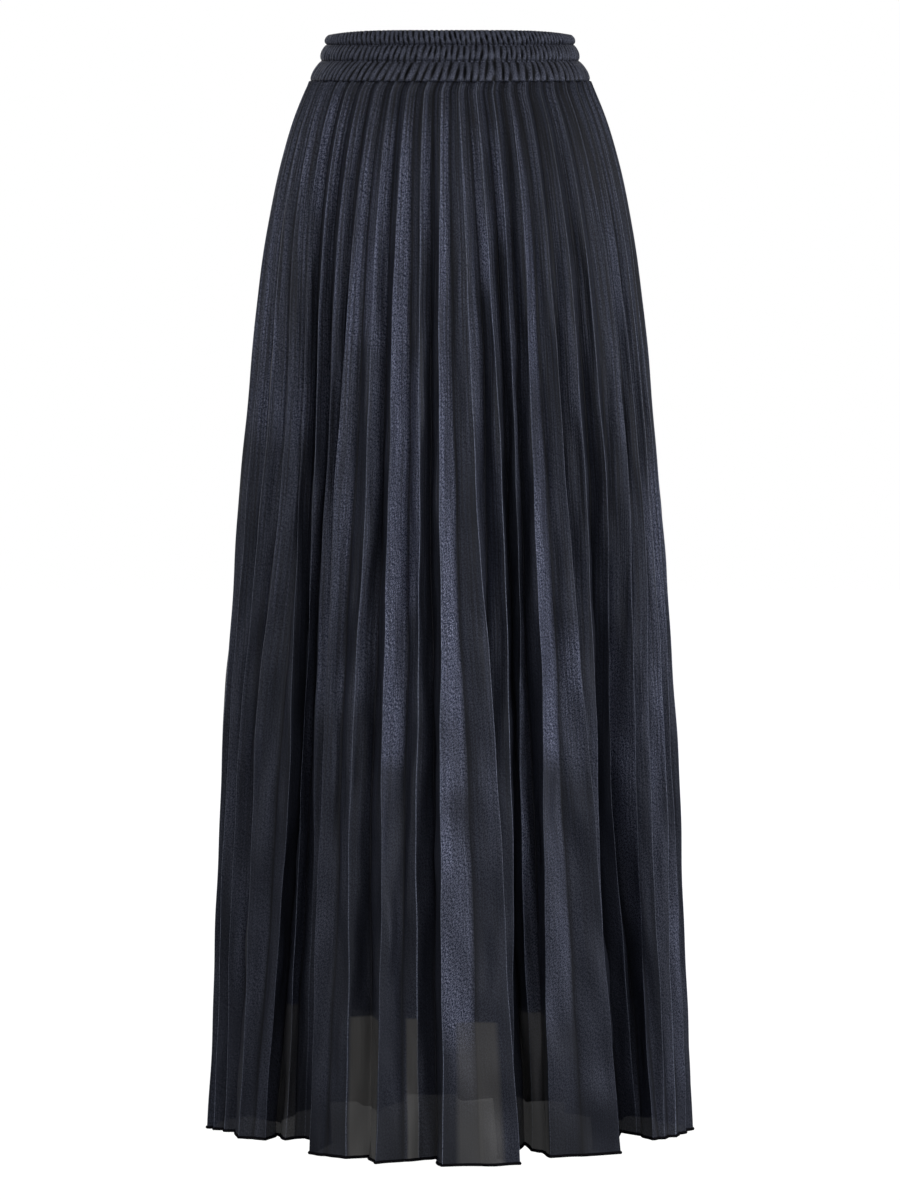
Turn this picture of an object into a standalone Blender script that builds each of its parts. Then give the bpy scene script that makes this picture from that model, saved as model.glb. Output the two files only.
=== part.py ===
"""Pleated maxi skirt, worn form: elastic waistband, front and back pleated panels, lining front and back.

Metres, +Z up. The origin is the middle of the waistband, where the wearer holds the skirt, and the
front faces -Y. The skirt keeps its filled-out hollow form: waist and hem are open. Inside this file a
plan point is (across, out): across is +X and out is the distance in front of the side seams, along -Y.
"""

import math

import bmesh
import bpy
import numpy as np

MM = 0.001
SEAM_GAP = 0.3  # between sewn pieces, mm

# Waistband: a gathered casing over elastic, stitched through into three channels.
BAND_HALF_HEIGHT = 22.0
BAND_DEPTH_RATIO = 0.75  # depth of the waist oval over its width
BAND_PUFF = 2.6  # how far a channel stands out between its stitch rows
BAND_GATHERS = 72
BAND_GATHER_RISE = 1.1
BAND_SLANT = 0.9  # how far a gather leans from the top of its channel to the bottom, in gathers
BAND_INNER_HALF_WIDTH = {"top": 103.0, "bottom": 115.6}
BAND_ROWS = (
    # height, half width at the stitching, puff (0 at a stitch row, 1 on a channel's crown)
    (22.0, 105.5, 0.0),
    (18.5, 106.0, 1.0),
    (13.0, 106.4, 1.0),
    (9.5, 107.2, 0.0),
    (6.0, 108.2, 1.0),
    (-1.0, 110.2, 1.0),
    (-4.5, 111.6, 0.0),
    (-8.5, 113.8, 1.0),
    (-17.0, 118.6, 1.0),
    (-22.0, 121.2, 0.0),
)

# Skirt body: the oval that the outer creases follow, from the waist seam to the hem.
WAIST_Z = -BAND_HALF_HEIGHT - SEAM_GAP
WAIST_DIP = 5.0  # the waist is this much lower in front than at the sides, and as much higher behind
DIP_REACH = 80.0  # how far out the front of the waist is
DIP_END_Z = -260.0  # below this nothing dips
HEM_Z = -949.0
BODY_OVALS = (
    # height, half width, half depth
    (-22.0, 124.0, 93.0),
    (-55.0, 137.5, 102.0),
    (-90.0, 148.0, 109.0),
    (-151.0, 161.0, 118.0),
    (-213.0, 169.5, 125.0),
    (-301.0, 178.5, 133.0),
    (-389.0, 187.5, 141.0),
    (-565.0, 200.5, 155.0),
    (-741.0, 208.5, 165.0),
    (-829.0, 212.5, 169.0),
    (-949.0, 218.0, 172.0),
)

# Sunray pleats: each face widens from the waist to the hem, as on a half-circle cut.
FACE_AT_WAIST = 9.0
FACE_AT_HEM = 36.0
LEAST_FOLD = 0.3  # depth of the shallowest fold over its face
PANEL_WALL = 1.2
LARGEST_MITRE = 2.0  # longest reach of a fold's tip past the middle of the wall, mm
THIGH_Z = -372.0
KNEE_Z = -585.0
FLUTES_START_Z = -240.0  # below this the pleats gather into the flutes of the hem
FLUTE_GROWTH = 1.6  # power of the fall by which the flutes grow
SEAM_BACK_AT_HEM = -20.0  # the side seams swing this far back at the hem
BACK_DEPTH = 0.92  # the back's fullness over the front's
OVAL_SAMPLES = 721  # points on a half oval when its length is measured
SECTION_HEIGHTS = (
    *(WAIST_Z, -34, -52, -76, -108, -150, -200, -250, -300, -350, -400),
    *(-450, -505, -560, -620, -680, -740, -800, -850, -900, HEM_Z),
)

FRONT_PLEATS = (
    # outer crease: across at thigh, knee and hem, out at hem; inner crease: across and out at hem
    (-184, -199, -217, -17, -210, -15),
    (-176, -194, -211, -8, -203, -8),
    (-162, -184, -201, 0, -188, 2),
    (-146, -168, -185, 33, -174, 36),
    (-129, -138, -162, 43, -154, 17),
    (-117, -126, -145, 42, -136, 35),
    (-107, -116, -127, 33, -104, 58),
    (-98, -109, -122, 108, -106, 119),
    (-72, -83, -90, 131, -69, 124),
    (-53, -57, -63, 154, -41, 144),
    (-26, -28, -28, 139, -12, 130),
    (-9, -8, -7, 167, 26, 165),
    (23, 38, 60, 159, 41, 128),
    (44, 52, 55, 103, 65, 61),
    (57, 60, 71, 94, 81, 102),
    (72, 79, 85, 126, 114, 119),
    (100, 118, 149, 108, 124, 86),
    (117, 126, 141, 60, 151, 5),
    (134, 139, 165, 18, 170, 22),
    (155, 160, 178, 43, 184, 37),
    (166, 174, 190, 38, 192, 29),
    (174, 187, 200, 27, 201, 16),
    (180, 194, 210, 9, 209, -2),
    (184, 199, 217, -9, 211, -16),
)
ACROSS_THIGH, ACROSS_KNEE, ACROSS_HEM, OUT_HEM, INNER_ACROSS, INNER_OUT = range(6)

# Lining: plain A-line panels that hang inside the pleats from the waist seam.
LINING_WALL = 1.0
LINING_HEM_Z = HEM_Z + 124.0
LINING_CLEARANCE = {"waist": 1.3, "hem": 8.0}
LINING_POINTS = 48
LINING_EASE = 13.0  # how far to each side the lining clears the creases, degrees
LINING_HEIGHTS = (WAIST_Z, -50, -90, -150, -230, -320, -410, -500, -590, -680, -760, LINING_HEM_Z)

CLOTH_ROUGHNESS = 0.55
COLOURS = {
    "waistband": (0.028, 0.031, 0.045, 1.0),
    "front_panel": (0.021, 0.022, 0.031, 1.0),
    "back_panel": (0.021, 0.022, 0.031, 1.0),
    "lining_front": (0.006, 0.006, 0.008, 1.0),
    "lining_back": (0.006, 0.006, 0.008, 1.0),
}


def clear_scene():
    for old in list(bpy.data.objects):
        bpy.data.objects.remove(old)


def smooth_through(knots, values, at):
    """A smooth curve through the values, given at rising knots, read at one place."""
    knots = np.asarray(knots, float)
    values = np.asarray(values, float)
    slopes = np.gradient(values, knots, axis=0)
    i = int(np.clip(np.searchsorted(knots, at) - 1, 0, len(knots) - 2))
    span = knots[i + 1] - knots[i]
    t = (np.clip(at, knots[0], knots[-1]) - knots[i]) / span
    start = (1 + 2 * t) * (1 - t) ** 2 * values[i] + t * (1 - t) ** 2 * span * slopes[i]
    end = t * t * (3 - 2 * t) * values[i + 1] + t * t * (t - 1) * span * slopes[i + 1]
    return start + end


def body_oval(z):
    """Half width and half depth of the outer creases' oval at a height."""
    heights, widths, depths = np.array(BODY_OVALS[::-1]).T
    return smooth_through(heights, widths, z), smooth_through(heights, depths, z)


def fall(z):
    """0 at the waist seam and 1 at the hem."""
    return (WAIST_Z - z) / (WAIST_Z - HEM_Z)


def flute(z):
    """How far the flutes of the hem have formed at a height: 0 above the hips and 1 at the hem."""
    return max(0.0, (FLUTES_START_Z - z) / (FLUTES_START_Z - HEM_Z)) ** FLUTE_GROWTH


def even_angles(half_width, half_depth, count):
    """Angles from the front at which points lie evenly along the front half of an oval."""
    fine = np.linspace(-math.pi / 2, math.pi / 2, OVAL_SAMPLES)
    steps = np.hypot(half_width * np.diff(np.sin(fine)), half_depth * np.diff(np.cos(fine)))
    length = np.concatenate([[0], np.cumsum(steps)])
    wanted = (np.arange(count) + 0.5) / count * length[-1]
    return np.interp(wanted, length, fine)


def outer_creases(z):
    """Plan points of the front's outer creases at a height."""
    pleats = np.array(FRONT_PLEATS, float)
    levels = (HEM_Z, KNEE_Z, THIGH_Z, WAIST_Z)
    columns = (ACROSS_HEM, ACROSS_KNEE, ACROSS_THIGH)
    angles = [np.arcsin(pleats[:, c] / body_oval(at)[0]) for c, at in zip(columns, levels)]
    angles.append(even_angles(*body_oval(WAIST_Z), len(pleats)))
    angle = smooth_through(levels, angles, z)
    half_width, half_depth = body_oval(z)
    hem_depth = body_oval(HEM_Z)[1] * np.cos(angles[0])
    out = half_depth * np.cos(angle) + (pleats[:, OUT_HEM] - hem_depth) * flute(z)
    return np.column_stack([half_width * np.sin(angle), out])


def turned_back(points, z):
    """The same plan points on the back: turned half round the seam line, and a little flatter."""
    seam = SEAM_BACK_AT_HEM * flute(z)
    return np.column_stack([-points[:, 0], seam - (points[:, 1] - seam) * BACK_DEPTH])


def inner_creases(outer, following, z):
    """Plan points of the inner creases, one after each outer crease: each fold is two equal faces."""
    ends = np.vstack([outer[1:], following])
    chord = ends - outer
    length = np.hypot(chord[:, 0], chord[:, 1])
    face = FACE_AT_WAIST + (FACE_AT_HEM - FACE_AT_WAIST) * fall(z)
    depth = np.sqrt(np.maximum(face**2 - (length / 2) ** 2, (LEAST_FOLD * face) ** 2))
    inward = np.column_stack([chord[:, 1], -chord[:, 0]]) / length[:, None]
    return (outer + ends) / 2 + inward * depth[:, None]


def front_section(z):
    """Outer and inner creases of the front by turns, as one row of plan points."""
    outer = outer_creases(z)
    inner = inner_creases(outer, turned_back(outer[:1], z), z)
    hem = outer_creases(HEM_Z)
    inner_hem = inner_creases(hem, turned_back(hem[:1], HEM_Z), HEM_Z)
    wanted = np.array(FRONT_PLEATS, float)[:, [INNER_ACROSS, INNER_OUT]]
    inner = inner + (wanted - inner_hem) * flute(z)
    return np.stack([outer, inner], axis=1).reshape(-1, 2)


def pleat_ring(z):
    """The whole ring of creases with both side seams, each in the middle of a pleat's face."""
    front = front_section(z)
    back = turned_back(front, z)
    left_seam = (back[-1] + front[0]) / 2
    right_seam = (front[-1] + back[0]) / 2
    return np.vstack([left_seam, front, right_seam, back])


def wall_sides(ring, thickness):
    """The ring's outer and inner sides, its corners mitred up to the largest mitre."""
    ahead = np.roll(ring, -1, axis=0) - ring
    ahead /= np.hypot(ahead[:, 0], ahead[:, 1])[:, None]
    normal = np.column_stack([-ahead[:, 1], ahead[:, 0]])
    before = np.roll(normal, 1, axis=0)
    middle = normal + before
    middle /= np.hypot(middle[:, 0], middle[:, 1])[:, None]
    half = thickness / 2
    slant = np.maximum((middle * normal).sum(axis=1), half / LARGEST_MITRE)
    offset = middle * (half / slant)[:, None]
    return ring + offset, ring - offset


def trimmed(points):
    """A stretch of wall cut back half the seam gap at both its ends."""
    points = points.copy()
    for end, following in ((0, 1), (-1, -2)):
        along = points[following] - points[end]
        points[end] += along / np.hypot(*along) * SEAM_GAP / 2
    return points


def dip(out, z):
    """How much lower than its ruled height a point near the waist lies."""
    share = min(1.0, max(0.0, (z - DIP_END_Z) / (WAIST_Z - DIP_END_Z)))
    return WAIST_DIP * out / DIP_REACH * share


def placed(points, z):
    return [(across * MM, -out * MM, (z - dip(out, z)) * MM) for across, out in points]


def closed_wall(name, outer_rows, inner_rows, ring=False):
    """A wall between an outer and an inner grid of points, rows from the top down."""
    rows, columns = len(outer_rows), len(outer_rows[0])
    mesh = bmesh.new()
    outer = [[mesh.verts.new(point) for point in row] for row in outer_rows]
    inner = [[mesh.verts.new(point) for point in row] for row in inner_rows]
    spans = [(c, (c + 1) % columns) for c in range(columns if ring else columns - 1)]
    for a, b in spans:
        for r in range(rows - 1):
            mesh.faces.new((outer[r][a], outer[r + 1][a], outer[r + 1][b], outer[r][b]))
            mesh.faces.new((inner[r][b], inner[r + 1][b], inner[r + 1][a], inner[r][a]))
        mesh.faces.new((inner[0][a], outer[0][a], outer[0][b], inner[0][b]))
        mesh.faces.new((outer[-1][a], inner[-1][a], inner[-1][b], outer[-1][b]))
    if not ring:
        for r in range(rows - 1):
            mesh.faces.new((outer[r][0], inner[r][0], inner[r + 1][0], outer[r + 1][0]))
            mesh.faces.new((inner[r][-1], outer[r][-1], outer[r + 1][-1], inner[r + 1][-1]))
    bmesh.ops.triangulate(mesh, faces=mesh.faces[:])
    bmesh.ops.recalc_face_normals(mesh, faces=mesh.faces[:])
    data = bpy.data.meshes.new(name)
    mesh.to_mesh(data)
    mesh.free()
    piece = bpy.data.objects.new(name, data)
    bpy.context.scene.collection.objects.link(piece)
    piece.data.materials.append(cloth(name))
    return piece


def cloth(name):
    material = bpy.data.materials.new(name + "_cloth")
    material.use_nodes = True
    shader = material.node_tree.nodes["Principled BSDF"]
    shader.inputs["Base Color"].default_value = COLOURS[name]
    shader.inputs["Roughness"].default_value = CLOTH_ROUGHNESS
    shader.inputs["Metallic"].default_value = 0.0
    return material


def make_waistband():
    """A tube with three puffed channels, its gathers raised in the outer points only."""
    columns = 2 * BAND_GATHERS
    angles = np.arange(columns) / columns * 2 * math.pi
    top, bottom = BAND_INNER_HALF_WIDTH["top"], BAND_INNER_HALF_WIDTH["bottom"]
    outer_rows = []
    for height, half_width, puff in BAND_ROWS:
        lean = BAND_SLANT * (BAND_HALF_HEIGHT - height) / (2 * BAND_HALF_HEIGHT)
        gathers = np.cos(BAND_GATHERS * angles + 2 * math.pi * lean)
        rise = puff * (BAND_PUFF + BAND_GATHER_RISE * gathers)
        across = (half_width + rise) * np.sin(angles)
        out = (half_width * BAND_DEPTH_RATIO + rise) * np.cos(angles)
        outer_rows.append(placed(np.column_stack([across, out]), height))
    inner_rows = []
    for height, half_width, _ in BAND_ROWS:
        drop = (BAND_HALF_HEIGHT - height) / (2 * BAND_HALF_HEIGHT)
        inside = top + (bottom - top) * drop
        across = inside * np.sin(angles)
        out = inside * BAND_DEPTH_RATIO * np.cos(angles)
        inner_rows.append(placed(np.column_stack([across, out]), height))
    return closed_wall("waistband", outer_rows, inner_rows, ring=True)


def make_pleated_panels():
    """Front and back panels, cut from the ring of creases at the side seams."""
    half = len(FRONT_PLEATS) * 2 + 1
    sides = {"front_panel": ([], []), "back_panel": ([], [])}
    for z in SECTION_HEIGHTS:
        outer, inner = wall_sides(pleat_ring(z), PANEL_WALL)
        for rows, side in zip((0, 1), (outer, inner)):
            looped = np.vstack([side, side[:1]])
            sides["front_panel"][rows].append(placed(trimmed(looped[: half + 1]), z))
            sides["back_panel"][rows].append(placed(trimmed(looped[half:]), z))
    return [closed_wall(name, outer, inner) for name, (outer, inner) in sides.items()]


def lining_ring(z):
    """Plan points of the lining's outer side and its centre: it clears the creases on each side of it."""
    half_width, half_depth = body_oval(z)
    centre = np.array([0.0, SEAM_BACK_AT_HEM * flute(z)])
    across, out = ((pleat_ring(z) - centre) / (half_width, half_depth)).T
    reach, angle = np.hypot(across, out), np.degrees(np.arctan2(across, out))
    places = -90 + 360 / LINING_POINTS * np.arange(LINING_POINTS)
    apart = np.abs((places[:, None] - angle[None, :] + 180) % 360 - 180)
    least = np.where(apart < LINING_EASE, reach[None, :], np.inf).min(axis=1)
    eased = (np.roll(least, 1) + least + np.roll(least, -1)) / 3
    toward = np.column_stack([np.sin(np.radians(places)), np.cos(np.radians(places))])
    ring = toward * eased[:, None] * (half_width, half_depth)
    clearance = np.interp(fall(z), (0, 1), (LINING_CLEARANCE["waist"], LINING_CLEARANCE["hem"]))
    length = np.hypot(*ring.T)
    return centre + ring * (1 - clearance / length)[:, None], centre


def make_linings():
    half = LINING_POINTS // 2
    sides = {"lining_front": ([], []), "lining_back": ([], [])}
    for z in LINING_HEIGHTS:
        outer, centre = lining_ring(z)
        reach = np.hypot(*(outer - centre).T)
        inner = centre + (outer - centre) * (1 - LINING_WALL / reach)[:, None]
        for rows, side in zip((0, 1), (outer, inner)):
            looped = np.vstack([side, side[:1]])
            sides["lining_front"][rows].append(placed(trimmed(looped[: half + 1]), z))
            sides["lining_back"][rows].append(placed(trimmed(looped[half:]), z))
    return [closed_wall(name, outer, inner) for name, (outer, inner) in sides.items()]


clear_scene()
make_waistband()
make_pleated_panels()
make_linings()
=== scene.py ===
"""Looks of a pleated maxi skirt in its worn, hollow form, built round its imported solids.

The frame is in metres, +Z up, and the front faces -Y. The origin is the middle of the waistband. Sizes
here are in millimetres, except where a comment says metres. A plan point is (across, out): across is +X,
and out is the distance in front of the side seams, along -Y.
"""

import math

import bpy
import numpy as np
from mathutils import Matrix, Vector


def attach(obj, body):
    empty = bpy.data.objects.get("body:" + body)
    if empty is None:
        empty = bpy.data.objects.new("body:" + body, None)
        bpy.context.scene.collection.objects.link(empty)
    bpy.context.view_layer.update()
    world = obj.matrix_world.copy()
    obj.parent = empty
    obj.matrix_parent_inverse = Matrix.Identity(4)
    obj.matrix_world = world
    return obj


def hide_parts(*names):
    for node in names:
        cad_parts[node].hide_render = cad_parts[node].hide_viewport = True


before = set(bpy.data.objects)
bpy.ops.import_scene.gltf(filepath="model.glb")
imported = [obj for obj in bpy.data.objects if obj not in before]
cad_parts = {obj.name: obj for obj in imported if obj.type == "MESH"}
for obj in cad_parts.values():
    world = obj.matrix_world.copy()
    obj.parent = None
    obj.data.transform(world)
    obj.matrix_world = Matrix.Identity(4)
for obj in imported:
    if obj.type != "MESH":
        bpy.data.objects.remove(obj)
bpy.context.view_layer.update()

# PLEATED PANELS
# The front and back of the skirt are sheer dark navy satin with a metallic glint, partly painted as
# highlights. Each is cut as a ring sector and heat-pressed into 24 sunray pleats, whose faces widen from the
# waist to the hem. They are sewn into the waistband at the top and to each other at the sides, in the middle
# of a pleat's face.
MM = 0.001
BAND_HALF_HEIGHT = 22.0
SEAM_GAP = 0.3
WAIST_Z = -BAND_HALF_HEIGHT - SEAM_GAP
HEM_Z = -949.0
WAIST_DIP = 5.0  # the waist is this much lower in front than at the sides, and as much higher behind
DIP_REACH = 80.0
DIP_END_Z = -260.0
BODY_OVALS = (
    # height, half width, half depth of the oval that the outer creases follow
    (-22.0, 124.0, 93.0),
    (-55.0, 137.5, 102.0),
    (-90.0, 148.0, 109.0),
    (-151.0, 161.0, 118.0),
    (-213.0, 169.5, 125.0),
    (-301.0, 178.5, 133.0),
    (-389.0, 187.5, 141.0),
    (-565.0, 200.5, 155.0),
    (-741.0, 208.5, 165.0),
    (-829.0, 212.5, 169.0),
    (-949.0, 218.0, 172.0),
)
FACE_AT_WAIST = 9.0
FACE_AT_HEM = 36.0
LEAST_FOLD = 0.3
THIGH_Z = -372.0
KNEE_Z = -585.0
FLUTES_START_Z = -240.0
FLUTE_GROWTH = 1.6
SEAM_BACK_AT_HEM = -20.0
BACK_DEPTH = 0.92
OVAL_SAMPLES = 721
FRONT_PLEATS = (
    # outer crease: across at thigh, knee and hem, out at hem; inner crease: across and out at hem
    (-184, -199, -217, -17, -210, -15),
    (-176, -194, -211, -8, -203, -8),
    (-162, -184, -201, 0, -188, 2),
    (-146, -168, -185, 33, -174, 36),
    (-129, -138, -162, 43, -154, 17),
    (-117, -126, -145, 42, -136, 35),
    (-107, -116, -127, 33, -104, 58),
    (-98, -109, -122, 108, -106, 119),
    (-72, -83, -90, 131, -69, 124),
    (-53, -57, -63, 154, -41, 144),
    (-26, -28, -28, 139, -12, 130),
    (-9, -8, -7, 167, 26, 165),
    (23, 38, 60, 159, 41, 128),
    (44, 52, 55, 103, 65, 61),
    (57, 60, 71, 94, 81, 102),
    (72, 79, 85, 126, 114, 119),
    (100, 118, 149, 108, 124, 86),
    (117, 126, 141, 60, 151, 5),
    (134, 139, 165, 18, 170, 22),
    (155, 160, 178, 43, 184, 37),
    (166, 174, 190, 38, 192, 29),
    (174, 187, 200, 27, 201, 16),
    (180, 194, 210, 9, 209, -2),
    (184, 199, 217, -9, 211, -16),
)
ACROSS_THIGH, ACROSS_KNEE, ACROSS_HEM, OUT_HEM, INNER_ACROSS, INNER_OUT = range(6)


def smooth_through(knots, values, at):
    """A smooth curve through the values, given at rising knots, read at one place."""
    knots = np.asarray(knots, float)
    values = np.asarray(values, float)
    slopes = np.gradient(values, knots, axis=0)
    i = int(np.clip(np.searchsorted(knots, at) - 1, 0, len(knots) - 2))
    span = knots[i + 1] - knots[i]
    t = (np.clip(at, knots[0], knots[-1]) - knots[i]) / span
    start = (1 + 2 * t) * (1 - t) ** 2 * values[i] + t * (1 - t) ** 2 * span * slopes[i]
    end = t * t * (3 - 2 * t) * values[i + 1] + t * t * (t - 1) * span * slopes[i + 1]
    return start + end


def body_oval(z):
    """Half width and half depth of the outer creases' oval at a height."""
    heights, widths, depths = np.array(BODY_OVALS[::-1]).T
    return smooth_through(heights, widths, z), smooth_through(heights, depths, z)


def fall(z):
    """0 at the waist seam and 1 at the hem."""
    return (WAIST_Z - z) / (WAIST_Z - HEM_Z)


def flute(z):
    """How far the flutes of the hem have formed at a height: 0 above the hips and 1 at the hem."""
    return max(0.0, (FLUTES_START_Z - z) / (FLUTES_START_Z - HEM_Z)) ** FLUTE_GROWTH


def even_angles(half_width, half_depth, count):
    """Angles from the front at which points lie evenly along the front half of an oval."""
    fine = np.linspace(-math.pi / 2, math.pi / 2, OVAL_SAMPLES)
    steps = np.hypot(half_width * np.diff(np.sin(fine)), half_depth * np.diff(np.cos(fine)))
    length = np.concatenate([[0], np.cumsum(steps)])
    wanted = (np.arange(count) + 0.5) / count * length[-1]
    return np.interp(wanted, length, fine)


def outer_creases(z):
    """Plan points of the front's outer creases at a height."""
    pleats = np.array(FRONT_PLEATS, float)
    levels = (HEM_Z, KNEE_Z, THIGH_Z, WAIST_Z)
    columns = (ACROSS_HEM, ACROSS_KNEE, ACROSS_THIGH)
    angles = [np.arcsin(pleats[:, c] / body_oval(at)[0]) for c, at in zip(columns, levels)]
    angles.append(even_angles(*body_oval(WAIST_Z), len(pleats)))
    angle = smooth_through(levels, angles, z)
    half_width, half_depth = body_oval(z)
    hem_depth = body_oval(HEM_Z)[1] * np.cos(angles[0])
    out = half_depth * np.cos(angle) + (pleats[:, OUT_HEM] - hem_depth) * flute(z)
    return np.column_stack([half_width * np.sin(angle), out])


def turned_back(points, z):
    """The same plan points on the back: turned half round the seam line, and a little flatter."""
    seam = SEAM_BACK_AT_HEM * flute(z)
    return np.column_stack([-points[:, 0], seam - (points[:, 1] - seam) * BACK_DEPTH])


def inner_creases(outer, following, z):
    """Plan points of the inner creases, one after each outer crease: each fold is two equal faces."""
    ends = np.vstack([outer[1:], following])
    chord = ends - outer
    length = np.hypot(chord[:, 0], chord[:, 1])
    face = FACE_AT_WAIST + (FACE_AT_HEM - FACE_AT_WAIST) * fall(z)
    depth = np.sqrt(np.maximum(face**2 - (length / 2) ** 2, (LEAST_FOLD * face) ** 2))
    inward = np.column_stack([chord[:, 1], -chord[:, 0]]) / length[:, None]
    return (outer + ends) / 2 + inward * depth[:, None]


def front_section(z):
    """Outer and inner creases of the front by turns, as one row of plan points."""
    outer = outer_creases(z)
    inner = inner_creases(outer, turned_back(outer[:1], z), z)
    hem = outer_creases(HEM_Z)
    inner_hem = inner_creases(hem, turned_back(hem[:1], HEM_Z), HEM_Z)
    wanted = np.array(FRONT_PLEATS, float)[:, [INNER_ACROSS, INNER_OUT]]
    inner = inner + (wanted - inner_hem) * flute(z)
    return np.stack([outer, inner], axis=1).reshape(-1, 2)


def pleat_ring(z):
    """The whole ring of creases with both side seams, each in the middle of a pleat's face."""
    front = front_section(z)
    back = turned_back(front, z)
    left_seam = (back[-1] + front[0]) / 2
    right_seam = (front[-1] + back[0]) / 2
    return np.vstack([left_seam, front, right_seam, back])


FACES = 2 * len(FRONT_PLEATS) + 1  # faces on one panel, with the half face at each side seam
CREASE_RADIUS = 0.8
CREASE_SHARE = 0.2  # a crease's radius is at most this share of the narrower face beside it
FACE_STEPS = (0.16, 0.33, 0.5, 0.67, 0.84)  # columns between two creases
FACE_COLUMNS = len(FACE_STEPS) + 3
CLOTH_ROWS = 230
SEAM_OVAL = (118.4, 88.8)  # half width and half depth of the waist seam, in the middle of the band's wall
TUCKS = (
    # height of a row inside the band, and how far the pleats' tops are drawn flat to the seam there
    (WAIST_Z + 2.6, 1.0),
    (WAIST_Z + 1.2, 0.5),
)
WANDER_WAVES = ((0.75, 410.0), (0.45, 190.0), (0.22, 83.0))  # reach and length of a crease's wander
WANDER_GROWTH = 2.5  # it is full after 1/2.5 of the fall
BOW_WAVES = ((0.045, 330.0), (0.035, 150.0), (0.015, 61.0))  # reach over the face's width, and length
CURL_WAVES = ((0.030, 270.0), (0.022, 117.0))  # the same for a face that curls at one edge
FACE_BULGE = 0.022
FACE_EASE = {"at waist": 0.25, "growth": 3.0}  # how freely the faces bow, as a share, and its growth
TOP_HOOK = {"reach": 2.6, "height": 11.0}  # the pleats' tops lean over where the band's seam pins them
SLIDE_REACH = 0.32  # how far valleys stray to one side near the hips, as a share of the fold's width
SLIDE_GROWTH = 4.0  # how fast they start to stray below the waist
SLIDE_END = 1 / 1.6  # share of the fall where they are back in the middle
chance = np.random.default_rng(24)
RING = 2 * FACES
wander_turns = chance.uniform(0, 2 * math.pi, (len(WANDER_WAVES), 2, RING))
bow_turns = chance.uniform(0, 2 * math.pi, (len(BOW_WAVES), RING))
curl_turns = chance.uniform(0, 2 * math.pi, (len(CURL_WAVES), RING))
slides = chance.uniform(-SLIDE_REACH, SLIDE_REACH, RING // 2)


def waves_down(rows, turns, z):
    """A sum of waves down the cloth, from rows of reach and length, each with its own turns."""
    pairs = zip(rows, turns)
    return sum(reach * np.sin(2 * math.pi * z / length + turn) for (reach, length), turn in pairs)


def wander(z):
    """How far each crease strays from its ruled line, which grows from nothing at the waist."""
    return waves_down(WANDER_WAVES, wander_turns, z).T * min(1.0, WANDER_GROWTH * fall(z))


def ease(z):
    """How freely the faces bow and curl at a height."""
    return min(1.0, FACE_EASE["growth"] * fall(z) + FACE_EASE["at waist"])


def bow(z):
    """How far each face swells out of flat, over its width."""
    return (FACE_BULGE + waves_down(BOW_WAVES, bow_turns, z)) * ease(z)


def curl(z):
    """How far one half of each face swells out and the other sinks in, over its width."""
    return waves_down(CURL_WAVES, curl_turns, z) * ease(z)


def uneven(ring, z):
    """The ring with its valleys strayed to one side about the hips, and its tops leaning at the band."""
    share = SLIDE_GROWTH * fall(z) * max(0.0, 1 - fall(z) / SLIDE_END)
    valleys = np.concatenate([np.arange(2, FACES, 2), FACES + np.arange(2, FACES, 2)])
    folds = (np.roll(ring, -1, axis=0) - np.roll(ring, 1, axis=0))[valleys]
    strayed = ring.copy()
    strayed[valleys] += folds * (slides[: len(valleys)] * share)[:, None]
    near_top = max(0.0, 1 - (WAIST_Z - z) / TOP_HOOK["height"]) ** 2
    ahead = np.roll(ring, -1, axis=0) - np.roll(ring, 1, axis=0)
    ahead /= np.hypot(*ahead.T)[:, None]
    return strayed + ahead * (TOP_HOOK["reach"] * near_top)


def cloth_row(z):
    """The ring at a height with rounded creases and bowed faces, and the places along each face."""
    ring = uneven(pleat_ring(z), z) + wander(z)
    face = np.roll(ring, -1, axis=0) - ring
    width = np.hypot(face[:, 0], face[:, 1])
    ahead = face / width[:, None]
    normal = np.column_stack([-ahead[:, 1], ahead[:, 0]])
    radius = np.minimum(CREASE_RADIUS, CREASE_SHARE * np.minimum(width, np.roll(width, 1)))
    leaving = ring + ahead * radius[:, None]
    arriving = np.roll(ring, -1, axis=0) - ahead * np.roll(radius, -1)[:, None]
    corner = (2 * ring + leaving + np.roll(arriving, 1, axis=0)) / 4
    columns = [corner, leaving]
    places = [np.zeros(RING), radius]
    swell, sway = bow(z), curl(z)
    for step in FACE_STEPS:
        rise = swell * math.sin(math.pi * step) + sway * math.sin(2 * math.pi * step)
        columns.append(leaving + (arriving - leaving) * step + normal * (rise * width)[:, None])
        places.append(radius + (width - radius - np.roll(radius, -1)) * step)
    columns.append(arriving)
    places += [width - np.roll(radius, -1), width]
    points = np.stack(columns, axis=1).reshape(-1, 2)
    return points, np.stack(places, axis=1) - width[:, None] / 2


def in_place(points, z):
    """Plan points at a height as places in the frame, in metres."""
    share = np.clip((z - DIP_END_Z) / (WAIST_Z - DIP_END_Z), 0, 1)
    lowered = z - WAIST_DIP * points[:, 1] / DIP_REACH * share
    return np.column_stack([points[:, 0], -points[:, 1], lowered]) * MM


WINDOW_TOP = 122.0  # the height above the hem where the lining ends, and single layers begin
WINDOW_TOP_FADE = 2.0
window_rows = HEM_Z + WINDOW_TOP + np.array([0.5, -0.5]) * WINDOW_TOP_FADE
cloth_heights = np.sort(np.concatenate([np.linspace(WAIST_Z, HEM_Z, CLOTH_ROWS), window_rows]))[::-1]
cloth_rows = [cloth_row(z) for z in cloth_heights]


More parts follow.
